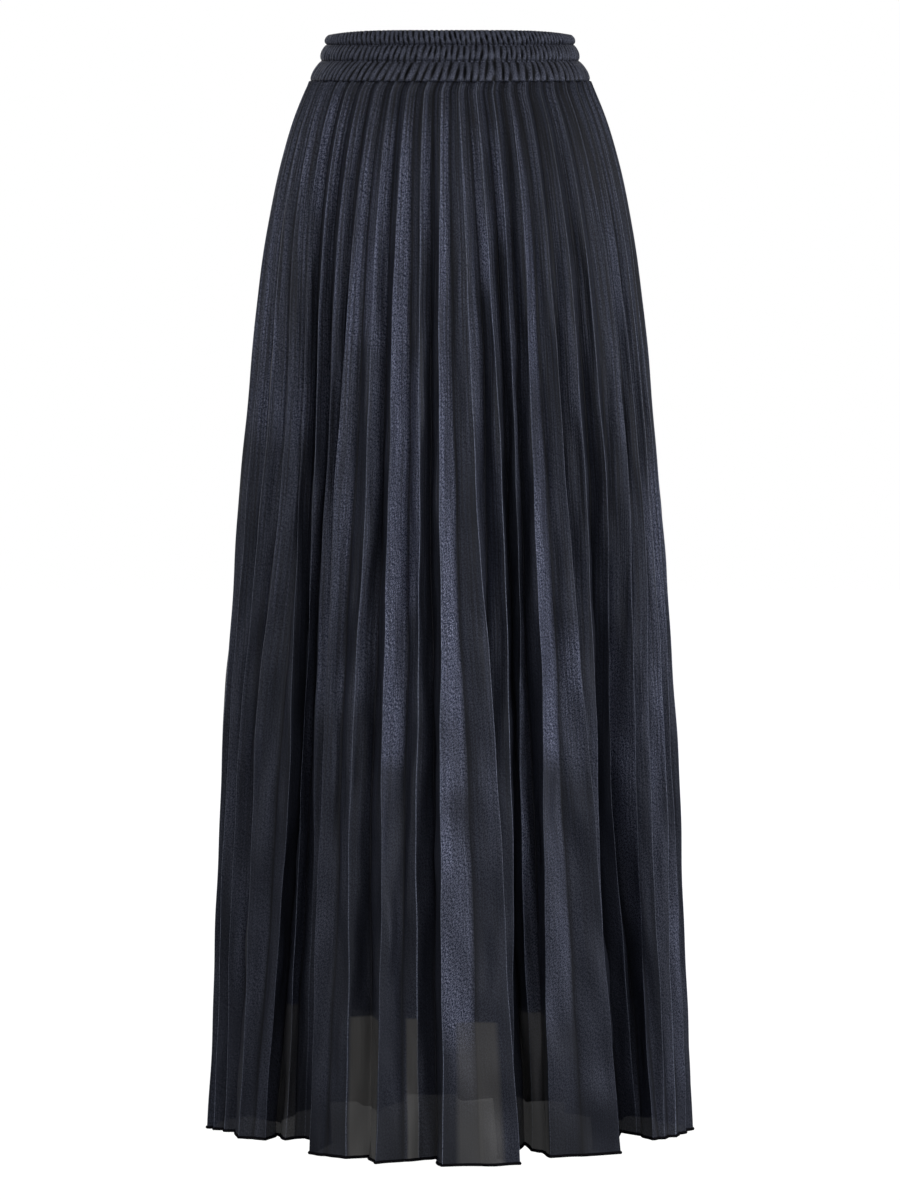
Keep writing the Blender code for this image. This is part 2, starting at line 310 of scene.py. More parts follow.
def drawn_to_seam(row, seam, share):
    """Plan points at the waist drawn towards the seam's oval, where the pleats' tops are sewn down flat."""
    half_width, half_depth = body_oval(WAIST_Z)
    angle = np.arctan2(row[:, 0] / half_width, row[:, 1] / half_depth)
    sewn = np.column_stack([seam[0] * np.sin(angle), seam[1] * np.cos(angle)])
    return row + (sewn - row) * share


top_row, top_places = cloth_rows[0]
tucked_rows = [(drawn_to_seam(top_row, SEAM_OVAL, share), top_places) for _, share in TUCKS]
panel_rows = tucked_rows + cloth_rows
panel_heights = np.concatenate([[z for z, _ in TUCKS], cloth_heights])


def add_piece(name, points, faces, material):
    """A smooth mesh piece, linked to the scene."""
    mesh = bpy.data.meshes.new(name)
    mesh.from_pydata([tuple(p) for p in points], [], [tuple(f) for f in faces])
    mesh.shade_smooth()
    mesh.materials.append(material)
    piece = bpy.data.objects.new(name, mesh)
    bpy.context.scene.collection.objects.link(piece)
    return piece


def sheet_faces(rows, columns, ring=False):
    """Quads of a grid of points, facing out when its columns run left to right."""
    faces = []
    for r in range(rows - 1):
        upper, lower = r * columns, (r + 1) * columns
        for c in range(columns if ring else columns - 1):
            following = (c + 1) % columns
            faces.append((upper + c, lower + c, lower + following, upper + following))
    return faces


def carry(piece, values):
    """Gives a mesh values at its points, which its material reads by name."""
    for name, spread in values.items():
        attribute = piece.data.attributes.new(name, "FLOAT", "POINT")
        attribute.data.foreach_set("value", spread.astype(np.float32).ravel())


def fill(tree, node, values):
    """Sets or links a node's inputs, by name or number."""
    for name, value in values.items():
        if isinstance(value, bpy.types.NodeSocket):
            tree.links.new(value, node.inputs[name])
        else:
            node.inputs[name].default_value = value


def put(tree, kind, values, **settings):
    """A shader node with its settings and inputs."""
    made = tree.nodes.new("ShaderNode" + kind)
    for name, value in settings.items():
        setattr(made, name, value)
    fill(tree, made, values)
    return made


def mixed(tree, share, first, second):
    """The first colour where the share is 0, and the second where it is 1."""
    return put(tree, "Mix", {"Factor": share, "A": first, "B": second}, data_type="RGBA").outputs["Result"]


def mapped(tree, value, given=(0.0, 1.0), wanted=(0.0, 1.0)):
    """A value brought from the given range to the wanted one, and kept inside it."""
    ends = {"From Min": given[0], "From Max": given[1], "To Min": wanted[0], "To Max": wanted[1]}
    return put(tree, "MapRange", {"Value": value, **ends}).outputs["Result"]


def worked_out(tree, operation, *values, **settings):
    """The result of a Math node."""
    return put(tree, "Math", dict(enumerate(values)), operation=operation, **settings).outputs[0]


def carried(tree, name):
    """The values that a mesh carries under a name."""
    return put(tree, "Attribute", {}, attribute_name=name).outputs["Fac"]


def flat_noise(tree, place, scale, detail, roughness=0.5):
    """Noise over a flat place."""
    values = {"Vector": place, "Scale": scale, "Detail": detail, "Roughness": roughness}
    return put(tree, "TexNoise", values, noise_dimensions="2D").outputs["Fac"]


def in_cells(tree, place, width, length):
    """A place counted in cells of a width and a length."""
    cell = put(tree, "CombineXYZ", {0: width, 1: length, 2: 1.0}).outputs[0]
    return put(tree, "VectorMath", {0: place, 1: cell}, operation="DIVIDE").outputs[0]


def new_material(name):
    """A material, its node tree and its shader."""
    material = bpy.data.materials.new(name)
    material.use_nodes = True
    return material, material.node_tree, material.node_tree.nodes["Principled BSDF"]


def new_group(name, takes, gives):
    """A node group with named sockets, in rows of a name and a kind: the group, its inputs, its result."""
    group = bpy.data.node_groups.new(name, "ShaderNodeTree")
    for label, kind in takes:
        group.interface.new_socket(label, in_out="INPUT", socket_type="NodeSocket" + kind)
    for label, kind in gives:
        group.interface.new_socket(label, in_out="OUTPUT", socket_type="NodeSocket" + kind)
    return group, group.nodes.new("NodeGroupInput").outputs, group.nodes.new("NodeGroupOutput")


def glint_grain():
    """The foil grain of the satin: short leaning streaks, and long runs down the cloth."""
    sizes = ("Streak Length", "Streak Width", "Lean", "Run Length", "Run Width")
    group, given, result = new_group(
        "glint_grain",
        [("Place", "Vector")] + [(label, "Float") for label in sizes],
        [("Streaks", "Float"), ("Sparks", "Float"), ("Runs", "Float"), ("Height", "Float")],
    )
    turn = {"Vector": given["Place"], "Angle": given["Lean"]}
    leaning = put(group, "VectorRotate", turn, rotation_type="Z_AXIS").outputs[0]
    leaning = in_cells(group, leaning, given["Streak Width"], given["Streak Length"])
    upright = in_cells(group, given["Place"], given["Run Width"], given["Run Length"])
    streaks = mapped(group, flat_noise(group, leaning, 1.0, 1.5, 0.6), given=(0.44, 0.57))
    fine = flat_noise(group, leaning, 2.3, 1.0)
    fill(group, result, {
        "Streaks": streaks,
        "Sparks": mapped(group, fine, given=(0.60, 0.74)),
        "Runs": mapped(group, flat_noise(group, upright, 1.0, 3.0, 0.55), given=(0.40, 0.60)),
        "Height": worked_out(group, "MULTIPLY_ADD", fine, 0.5, streaks),
    })
    return group


GLINT_GRAIN = glint_grain()
SATIN_GRAIN = {
    # metres, and the lean in radians
    "Streak Length": 0.0020,
    "Streak Width": 0.00072,
    "Lean": 0.6,
    "Run Length": 0.14,
    "Run Width": 0.0017,
}
SATIN_PLAIN = (0.018, 0.018, 0.020, 1.0)  # the ground weave, where the foil and its painted highlight are weak
SATIN_BLUE = (0.028, 0.034, 0.056, 1.0)  # long blue runs in the ground weave
SATIN_DARK = (0.046, 0.055, 0.094, 1.0)  # the foil between its streaks
SATIN_BRIGHT = (0.285, 0.308, 0.435, 1.0)
# painted highlight: a light colour along the outer creases, for the light they catch
CREASE_PAINTED_HIGHLIGHT = (0.600, 0.680, 0.940, 1.0)
VALLEY_SHADE = (0.014, 0.015, 0.020, 1.0)  # painted shade, darkest in the inner creases
SHEER_PAINTED_LIGHT = (0.138, 0.135, 0.134, 1.0)  # painted light: a single layer lets light through, which greys it


def pleated_satin():
    """Sheer satin: dark ground and a grainy metallic foil gleam, partly painted highlight, with painted
    crease highlights, valley shade and light through single layers.
    """
    material, tree, shader = new_material("pleated_satin")
    place = put(tree, "UVMap", {}, uv_map="cloth").outputs[0]
    grain = put(tree, "Group", {"Place": place, **SATIN_GRAIN}, node_tree=GLINT_GRAIN).outputs
    drawn = carried(tree, "drawn")
    run_reach = mapped(tree, grain["Runs"], wanted=(-0.7, 0.6))
    run_share = worked_out(tree, "MULTIPLY_ADD", run_reach, drawn, 1.0)
    # the foil's strength, partly a painted highlight, thinned by the runs
    foil_and_highlight_share = worked_out(tree, "MULTIPLY", carried(tree, "foil"), run_share, use_clamp=True)
    ground = mixed(tree, worked_out(tree, "MULTIPLY", run_share, 0.5), SATIN_PLAIN, SATIN_BLUE)
    foil = mixed(tree, grain["Streaks"], SATIN_DARK, SATIN_BRIGHT)
    colour = mixed(tree, foil_and_highlight_share, ground, foil)
    beads = mapped(tree, grain["Streaks"], wanted=(0.25, 1.0))
    # painted highlight along the outer creases, beaded by the grain
    colour = mixed(tree, worked_out(tree, "MULTIPLY", carried(tree, "crease"), beads), colour, CREASE_PAINTED_HIGHLIGHT)
    # painted shade in the inner creases
    colour = mixed(tree, carried(tree, "valley"), colour, VALLEY_SHADE)
    # painted light where a single layer shows the light behind it
    colour = mixed(tree, carried(tree, "single"), colour, SHEER_PAINTED_LIGHT)
    grain_height = worked_out(tree, "MULTIPLY", grain["Height"], foil_and_highlight_share)
    relief = put(tree, "Bump", {"Strength": 0.6, "Distance": 0.0005, "Height": grain_height}).outputs[0]
    run_height = worked_out(tree, "MULTIPLY", grain["Runs"], drawn)
    run_relief = {"Strength": 0.4, "Distance": 0.0004, "Height": run_height, "Normal": relief}
    fill(tree, shader, {
        "Base Color": colour,
        "Metallic": mapped(tree, foil_and_highlight_share, wanted=(0.30, 0.95)),
        "Roughness": mapped(tree, grain["Sparks"], wanted=(0.42, 0.30)),
        "Specular IOR Level": 0.25,
        "Alpha": carried(tree, "cover"),
        "Normal": put(tree, "Bump", run_relief).outputs[0],
    })
    return material


PLEATED_SATIN = pleated_satin()


def flat_sector(top_arc, bottom_arc, length):
    """Width, length and area of the ring sector that a flared panel is cut as."""
    angle = (bottom_arc - top_arc) / length
    outer, inner = bottom_arc / angle, top_arc / angle
    width = 2 * outer * math.sin(angle / 2)
    return width, outer - inner * math.cos(angle / 2), (top_arc + bottom_arc) / 2 * length


def panel_columns(start):
    """Numbers of the ring's columns on one panel, from seam to seam."""
    first = start * FACE_COLUMNS
    return np.arange(first, first + FACES * FACE_COLUMNS + 1) % (RING * FACE_COLUMNS)


FOIL_AND_HIGHLIGHT_USUAL = (0.15, 0.38)  # strength of the foil on the left and on the right side of a pleat; the right side faces the key light and is painted stronger as a highlight
FOIL_AND_HIGHLIGHT_FADE = 30.0
FOIL_AND_HIGHLIGHT_DRIFT = ((0.26, 390.0), (0.16, 170.0), (0.08, 71.0))  # reach and length of the drift of the foil and its painted highlight down a face
FOIL_AND_HIGHLIGHT_SWAY = ((0.42, 430.0), (0.26, 150.0))  # the same from one edge of a face to the other
crease_highlight_strength = chance.uniform(0.1, 1.0, FACES // 2)  # strength of the painted highlight on each outer crease, uneven from one to the next
# share of the painted crease highlight that is left at the waist
CREASE_AT_WAIST = 0.4
VALLEY_SHADE_COLUMNS = ((-1, 0.6), (0, 0.9), (1, 0.6))  # columns from an inner crease, and how dark the painted shade makes them
RUNS_AT_HEM = 0.15  # how strongly the runs show at the hem, as a share of that at the waist
drift_turns = chance.uniform(0, 2 * math.pi, (len(FOIL_AND_HIGHLIGHT_DRIFT), FACES))
sway_turns = chance.uniform(0, 2 * math.pi, (len(FOIL_AND_HIGHLIGHT_SWAY), FACES))
FOIL_AND_HIGHLIGHT_STRIPES = (
    # first and last face from the seam on, top and bottom height, strength of the foil there; strong rows
    # are painted highlight, weak rows painted shade
    (0, 48, 40, -45, 0.22),
    (12, 32, -865, -1000, 0.05),
    (33, 48, 40, -360, 0.15),
    (0, 8, -330, -1000, 0.17),
    (33, 48, -360, -1000, 0.20),
    (13, 32, -560, -900, 0.16),
    (9, 9, -45, -125, 1.0),
    (11, 11, -45, -125, 1.0),
    (15, 15, -85, -245, 1.0),
    (16, 16, -60, -240, 0.5),
    (17, 17, -60, -250, 1.0),
    (19, 19, -60, -600, 1.0),
    (20, 20, -270, -470, 1.0),
    (21, 21, -60, -150, 0.9),
    (23, 23, -60, -640, 1.0),
    (23, 23, -640, -840, 0.66),
    (26, 26, -70, -200, 0.9),
    (28, 28, -70, -160, 0.9),
    (29, 29, -520, -830, 0.60),
    (31, 31, -140, -600, 1.0),
    (31, 31, -640, -830, 0.46),
    (32, 32, -500, -620, 0.5),
    (38, 38, -510, -760, 0.5),
    (42, 42, -360, -900, 0.36),
    (44, 44, -360, -900, 0.40),
    (9, 9, -330, -860, 0.1),
    (10, 10, -400, -800, 0.2),
    (17, 17, -560, -960, 0.1),
    (18, 18, -300, -960, 0.15),
    (20, 20, -560, -960, 0.12),
    (21, 21, -170, -960, 0.15),
    (22, 22, -10, -960, 0.12),
    (24, 24, -700, -960, 0.15),
    (25, 26, -470, -960, 0.13),
    (27, 28, -260, -960, 0.15),
    (36, 36, -330, -800, 0.1),
)
CLOTH_COVER = 0.994  # how much the satin hides where its folds lie doubled
BACK_COVER = 0.975  # the back's, where the light shows through
WINDOW_COVER = 0.984  # a single layer, below the edge of the cloth behind it
WINDOW_FADE = 5.0
WINDOWS = (
    # face, first and last share of its width, how much a single layer hides there, the height above the
    # hem under which nothing but a single layer is in view, and how grey the painted light through it makes
    # it
    (10, 0.0, 1.0, 0.95, 27.0, 0.45),
    (11, 0.0, 0.8, 0.93, 31.0, 0.60),
    (17, 0.2, 1.0, 0.92, 53.0, 0.90),
    (18, 0.0, 0.8, 0.92, 52.0, 0.90),
    (20, 0.35, 1.0, 0.92, 60.0, 0.80),
    (23, 0.55, 1.0, 0.95, 58.0, 0.40),
    (24, 0.1, 0.5, 0.93, 58.0, 0.60),
    (28, 0.0, 1.0, 0.94, 46.0, 0.65),
    (29, 0.0, 1.0, 0.94, 52.0, 0.55),
    (30, 0.0, 0.8, 0.94, 52.0, 0.45),
)


def foil_and_highlight_strength(heights):
    """How strong the foil and its painted highlight are on each face of a panel at each height, with soft
    ends to its stripes.
    """
    strength = np.tile([FOIL_AND_HIGHLIGHT_USUAL[face % 2] for face in range(FACES)], (len(heights), 1))
    for first, last, top, bottom, wanted in FOIL_AND_HIGHLIGHT_STRIPES:
        within = np.clip(np.minimum(top - heights, heights - bottom) / FOIL_AND_HIGHLIGHT_FADE + 0.5, 0, 1)
        stripe = strength[:, first : last + 1]
        stripe += (wanted - stripe) * within[:, None]
    return strength


def foil_and_highlight_spread(heights):
    """The strength of the foil and its painted highlight at each point of a panel, which drifts down each
    face and sways across it.
    """
    drift = 1 + waves_down(FOIL_AND_HIGHLIGHT_DRIFT, drift_turns, heights[:, None])
    sway = waves_down(FOIL_AND_HIGHLIGHT_SWAY, sway_turns, heights[:, None])
    across = np.linspace(-1, 1, FACE_COLUMNS)
    spread = (foil_and_highlight_strength(heights) * drift)[:, :, None] * (1 + sway[:, :, None] * across)
    spread = spread.reshape(len(heights), -1)
    return np.clip(np.hstack([spread, spread[:, -1:]]), 0, 1)


def cover_share(heights, columns, usual, windows):
    """How much each point of a panel hides of what is behind it, and how much painted light a single layer
    shows there.
    """
    cover = np.full((len(heights), columns), usual)
    single = np.zeros((len(heights), columns))
    below_top = np.clip((HEM_Z + WINDOW_TOP - heights) / WINDOW_TOP_FADE + 0.5, 0, 1)[:, None]
    for face, first, last, layer, edge, grey in windows:
        below_edge = np.clip((HEM_Z + edge - heights) / WINDOW_FADE + 0.5, 0, 1)[:, None]
        start, end = (round((face + share) * FACE_COLUMNS) for share in (first, last))
        cover[:, start : end + 1] = layer + (WINDOW_COVER - layer) * below_edge
        single[:, start : end + 1] = grey * below_top
    return cover, single


FACE_SPACING = 0.06  # metres of grain from one face to the next, so that no two faces show the same


def lay_grain(piece, start):
    """Lays the cloth's grain on a panel from a seam on, in metres along each face and up it."""
    along = np.stack([places[np.arange(start, start + FACES) % RING] for _, places in panel_rows]) * MM
    along += FACE_SPACING * np.arange(FACES)[:, None]
    left, right = (part.reshape(len(panel_rows), -1) for part in (along[..., :-1], along[..., 1:]))
    up = np.broadcast_to(panel_heights[:, None] * MM, left.shape)
    corners = [left[:-1], up[:-1], left[1:], up[1:], right[1:], up[1:], right[:-1], up[:-1]]
    layer = piece.data.uv_layers.new(name="cloth")
    layer.uv.foreach_set("vector", np.stack(corners, axis=2).astype(np.float32).ravel())


def pleated_panel(name, start, usual_cover, windows):
    """One panel of the ring from a seam on, with its grain, cover, foil partly painted as highlight, and
    painted crease highlights, valley shade and single-layer light.
    """
    columns = panel_columns(start)
    points = np.vstack([in_place(row[columns], z) for (row, _), z in zip(panel_rows, panel_heights)])
    piece = add_piece(name, points, sheet_faces(len(panel_rows), len(columns)), PLEATED_SATIN)
    lay_grain(piece, start)
    # painted highlight on the outer creases, and painted shade beside the inner creases
    pressed, sunk = np.zeros(len(columns)), np.zeros(len(columns))
    pressed[FACE_COLUMNS : FACES * FACE_COLUMNS : 2 * FACE_COLUMNS] = crease_highlight_strength
    for beside, shade in VALLEY_SHADE_COLUMNS:
        sunk[2 * FACE_COLUMNS + beside : FACES * FACE_COLUMNS : 2 * FACE_COLUMNS] = shade
    fallen = fall(panel_heights)[:, None]
    cover, single = cover_share(panel_heights, len(columns), usual_cover, windows)
    # crease: painted highlight; valley: painted shade; foil: foil and painted highlight; single: painted
    # light through a single layer
    carry(piece, {
        "crease": pressed * (CREASE_AT_WAIST + (1 - CREASE_AT_WAIST) * fallen),
        "valley": np.tile(sunk, (len(panel_rows), 1)),
        "foil": foil_and_highlight_spread(panel_heights),
        "drawn": np.tile(np.clip(1 - fallen, RUNS_AT_HEM, 1), len(columns)),
        "cover": cover,
        "single": single,
    })
    return piece


HEM_ROLL = {"radius": 1.4, "step": 0.45, "wrap": 1.35, "relief": 0.10, "sides": 7}
BACK_ROLL = {**HEM_ROLL, "radius": 0.70}
PANEL_CUT = {"waist": 0.425, "hem": 1.30}  # metres along one panel's ring sector, before it is pleated


def thread_grain():
    """Fine matt threads: a colour that goes from dark to light over them, and their height."""
    group, given, result = new_group(
        "thread_grain",
        [("Place", "Vector"), ("Scale", "Float"), ("Dark", "Color"), ("Light", "Color")],
        [("Colour", "Color"), ("Height", "Float")],
    )
    values = {"Vector": given["Place"], "Scale": given["Scale"], "Detail": 2.0}
    threads = put(group, "TexNoise", values).outputs["Fac"]
    fill(group, result, {"Colour": mixed(group, threads, given["Dark"], given["Light"]), "Height": threads})
    return group


THREAD_GRAIN = thread_grain()
THREAD_RELIEF = 0.0002  # metres


def matt_threads(name, grain, relief, finish):
    """A matt material of fine threads, with the grain's values, its relief's strength and its finish."""
    material, tree, shader = new_material(name)
    place = put(tree, "TexCoord", {}).outputs["Object"]
    threads = put(tree, "Group", {"Place": place, **grain}, node_tree=THREAD_GRAIN).outputs
    bump = {"Strength": relief, "Distance": THREAD_RELIEF, "Height": threads["Height"]}
    normal = put(tree, "Bump", bump).outputs[0]
    fill(tree, shader, {"Base Color": threads["Colour"], "Normal": normal, **finish})
    return material


# dark thread, wound close round the rolled edge
HEM_THREAD = matt_threads(
    "hem_thread",
    {"Scale": 1400.0, "Dark": (0.002, 0.002, 0.003, 1.0), "Light": (0.008, 0.008, 0.012, 1.0)},
    0.5,
    {"Roughness": 0.7, "Specular IOR Level": 0.08},
)


def tube_faces(rings, sides):
    """Faces of a closed tube: its wall, and a cap at each end."""
    last = (rings - 1) * sides
    caps = [tuple(range(sides)), tuple(last + k for k in reversed(range(sides)))]
    return sheet_faces(rings, sides, ring=True) + caps


def rolled_edge(name, path, roll):
    """A thread-wrapped roll along a path of places, in metres."""
    step = np.hypot(np.hypot(*np.diff(path[:, :2], axis=0).T), np.diff(path[:, 2]))
    along = np.concatenate([[0], np.cumsum(step)])
    wanted = np.arange(0, along[-1], roll["step"] * MM)
    middle = np.column_stack([np.interp(wanted, along, path[:, axis]) for axis in range(3)])
    ahead = np.gradient(middle, axis=0)
    ahead /= np.linalg.norm(ahead, axis=1)[:, None]
    side = np.cross(ahead, (0.0, 0.0, 1.0))
    side /= np.linalg.norm(side, axis=1)[:, None]
    up = np.cross(side, ahead)
    radius = roll["radius"] * MM * (1 + roll["relief"] * np.cos(2 * math.pi * wanted / (roll["wrap"] * MM)))
    turns = 2 * math.pi * np.arange(roll["sides"]) / roll["sides"]
    spokes = side[:, None] * np.cos(turns)[None, :, None] + up[:, None] * np.sin(turns)[None, :, None]
    points = (middle[:, None] + spokes * radius[:, None, None]).reshape(-1, 3)
    piece = add_piece(name, points, tube_faces(len(wanted), roll["sides"]), HEM_THREAD)
    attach(piece, "root")
    return piece


front_panel = pleated_panel("front_panel_cloth", 0, CLOTH_COVER, WINDOWS)
back_panel = pleated_panel("back_panel_cloth", FACES, BACK_COVER, ())
width, length, area = flat_sector(PANEL_CUT["waist"], PANEL_CUT["hem"], (WAIST_Z - HEM_Z) * MM)
for panel, node, start, roll in (
    (front_panel, "front_panel", 0, HEM_ROLL),
    (back_panel, "back_panel", FACES, BACK_ROLL),
):
    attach(panel, "root")
    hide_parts(node)
    hem_edge = panel_rows[-1][0][panel_columns(start)]
    hem = rolled_edge(node + "_hem", in_place(hem_edge, HEM_Z), roll)

SEAM_ALLOWANCE = {"width": 7.0, "share of the face": 0.42, "inside": 0.7, "flutter": 0.30, "wave": 37.0}
ALLOWANCE_STEPS = (0.0, 0.5, 1.0)


def seam_allowance(name, start):
    """The overlocked seam allowance inside a side seam, pressed flat against the back panel."""
    column = start * FACE_COLUMNS
    points = []
    for (row, _), z in zip(cloth_rows, cloth_heights):
        cloth = row[column - np.arange(FACE_COLUMNS)]
        along = np.concatenate([[0], np.cumsum(np.hypot(*np.diff(cloth, axis=0).T))])
        ahead = row[column + 2] - cloth[2]
        inward = np.array([ahead[1], -ahead[0]]) / np.hypot(*ahead)
        face = FACE_AT_WAIST + (FACE_AT_HEM - FACE_AT_WAIST) * fall(z)
        wide = min(SEAM_ALLOWANCE["width"], SEAM_ALLOWANCE["share of the face"] * face)
        wave = math.sin(2 * math.pi * z / SEAM_ALLOWANCE["wave"])
        for share in ALLOWANCE_STEPS:
            place = np.array([np.interp(wide * share, along, cloth[:, axis]) for axis in (0, 1)])
            place += inward * (SEAM_ALLOWANCE["inside"] + SEAM_ALLOWANCE["flutter"] * share * wave)
            points.append(in_place(place[None], z)[0])
    faces = sheet_faces(len(cloth_rows), len(ALLOWANCE_STEPS))
    piece = add_piece(name, points, faces, HEM_THREAD)
    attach(piece, "root")


seam_allowance("left_seam_allowance", 0)
seam_allowance("right_seam_allowance", FACES)

# LINING
# Two plain A-line panels of near-black woven lining hang inside the pleats from the waist seam, and end
# 124 mm above the skirt's hem. They show as a straight edge through the sheer satin.
LINING_WALL = 1.0  # its solid's wall, in whose middle the cloth lies
LINING_CLOTH_WALL = 0.4
LINING_HEM_Z = HEM_Z + 124.0
LINING_CLEARANCE = {"waist": 1.3, "hem": 8.0}
LINING_POINTS = 96
HALF_LINING = LINING_POINTS // 2
LINING_EASE = 13.0  # degrees to each side within which it clears every crease
LINING_SMOOTHING = 2  # points to each side that a point's reach is averaged with
LINING_ROWS = 120
LINING_TOP_Z = WAIST_Z - 1.0
LINING_TUCK = {"height": WAIST_Z + 2.4, "seam": (117.2, 87.6)}  # its top is sewn into the band's seam too
LINING_DIP = {"drop": 16.0, "reach": 120.0, "power": 3}  # it hangs lower at the side seams


def arc_length(row):
    """Length in metres of a row of plan points."""
    return float(np.hypot(*np.diff(row, axis=0).T).sum()) * MM


def lining_ring(z):
    """Plan points of the lining's outer side: it clears the creases on each side of it."""
    half_width, half_depth = body_oval(z)
    centre = np.array([0.0, SEAM_BACK_AT_HEM * flute(z)])
    across, out = ((pleat_ring(z) - centre) / (half_width, half_depth)).T
    reach, angle = np.hypot(across, out), np.degrees(np.arctan2(across, out))
    places = -90 + 360 / LINING_POINTS * np.arange(LINING_POINTS)
    apart = np.abs((places[:, None] - angle[None, :] + 180) % 360 - 180)
    least = np.where(apart < LINING_EASE, reach[None, :], np.inf).min(axis=1)
    shifts = range(-LINING_SMOOTHING, LINING_SMOOTHING + 1)
    eased = sum(np.roll(least, k) for k in shifts) / len(shifts)
    toward = np.column_stack([np.sin(np.radians(places)), np.cos(np.radians(places))])
    ring = toward * eased[:, None] * (half_width, half_depth)
    clearance = np.interp(fall(z), (0, 1), (LINING_CLEARANCE["waist"], LINING_CLEARANCE["hem"]))
    length = np.hypot(*ring.T)
    return centre + ring * (1 - (clearance + LINING_WALL / 2) / length)[:, None]


# matt near-black plain weave
LINING_CLOTH = matt_threads(
    "lining_cloth",
    {"Scale": 900.0, "Dark": (0.0045, 0.0045, 0.0055, 1.0), "Light": (0.009, 0.009, 0.011, 1.0)},
    0.4,
    {"Roughness": 0.75, "Specular IOR Level": 0.2},
)
lining_heights = np.linspace(LINING_TOP_Z, LINING_HEM_Z, LINING_ROWS)
lining_rows = [lining_ring(z) for z in lining_heights]
lining_rows.insert(0, drawn_to_seam(lining_rows[0], LINING_TUCK["seam"], 1.0))
lining_heights = np.insert(lining_heights, 0, LINING_TUCK["height"])
for name, node, start in (
    ("lining_front_cloth", "lining_front", 0),
    ("lining_back_cloth", "lining_back", HALF_LINING),
):
    columns = np.arange(start, start + HALF_LINING + 1) % LINING_POINTS
    points = []
    for row, z in zip(lining_rows, lining_heights):
        places = in_place(row[columns], z)
        sides = np.clip(1 - np.abs(row[columns, 1]) / LINING_DIP["reach"], 0, 1)
        places[:, 2] -= LINING_DIP["drop"] * MM * sides * fall(z) ** LINING_DIP["power"]
        points += list(places)
    panel = add_piece(name, points, sheet_faces(len(lining_rows), len(columns)), LINING_CLOTH)
    wall = panel.modifiers.new("wall", "SOLIDIFY")
    wall.thickness = LINING_CLOTH_WALL * MM
    wall.offset = 0.0
    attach(panel, "root")
    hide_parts(node)
    top_arc, hem_arc = arc_length(lining_rows[1][columns]), arc_length(lining_rows[-1][columns])
    width, length, area = flat_sector(top_arc, hem_arc, (WAIST_Z - LINING_HEM_Z) * MM)

# WAISTBAND
# A casing of the same satin, folded over soft elastic and sewn through twice, which makes three puffed
# channels. The elastic gathers the cloth into fine slanting puckers, coarser in the lowest channel.
BAND_DEPTH_RATIO = 0.75
BAND_COLUMNS = 1560
BAND_CHANNELS = (
    # top and bottom height, half width at each, puff, puckers round, pucker height, lean at left and right
    (22.0, 9.5, 105.3, 107.2, 1.7, 146, 2.5, -0.1, -0.7),
    (9.5, -4.5, 107.2, 111.6, 1.9, 132, 2.7, 0.8, 0.1),
    (-4.5, -22.0, 111.6, 121.2, 1.9, 108, 3.1, 1.1, 0.2),
)
CHANNEL_ROWS = 17
CHANNEL_CROWN = 0.6  # power of a channel's arch: the lower it is, the fuller the channel near its seams
BAND_CORNER = {"drop": 4.2, "power": 5}  # the top edge rounds down at the sides
BAND_SCALLOP = 0.9  # how far the puckers bend the band's edges and stitch lines up and down
BAND_INNER = {"top": 103.0, "bottom": 115.6, "rows": 12}  # half widths of its plain inside
# its ridge sets how much of the painted slit shade lies on the plain inside
BAND_INNER_PUCKER = {"height": 0.5, "count": 130, "ridge": 0.6}
PUCKER_SPREAD = ((2, 0.5), (5, 0.22), (11, 0.10), (23, 0.06), (41, 0.04))  # waves round, and reach in turns
PUCKER_SIZES = ((17, 0.18), (29, 0.16), (53, 0.14))
PUCKER_SLIP = 0.75
PUCKER_POWER = 0.8  # the lower it is, the narrower the slits between puckers
PUCKER_AT_SEAM = 0.3  # share of a pucker's height that is left at a stitch line
PUCKER_SUNK = 0.45  # share of its height that lies below the band's own surface
SLITS = {"count": 61, "stray": 6.0, "slant": 1.1, "least": 0.45}  # they come and go round the band
WHOLE_TURN = 6.28  # radians
band_angles = np.arange(BAND_COLUMNS) / BAND_COLUMNS * 2 * math.pi


def waves_round(rows):
    """A sum of waves round the band, from rows of number round and reach, each starting anywhere."""
    turns = chance.uniform(0, WHOLE_TURN, len(rows))
    return sum(reach * np.sin(count * band_angles + turn) for (count, reach), turn in zip(rows, turns))


def corner_drop(height):
    """How far each place round the band is lowered, which is most near its top edge at the sides."""
    lowest = BAND_CHANNELS[1][0]
    near_top = max(0.0, (height - lowest) / (BAND_HALF_HEIGHT - lowest))
    return BAND_CORNER["drop"] * near_top * np.abs(np.sin(band_angles)) ** BAND_CORNER["power"]


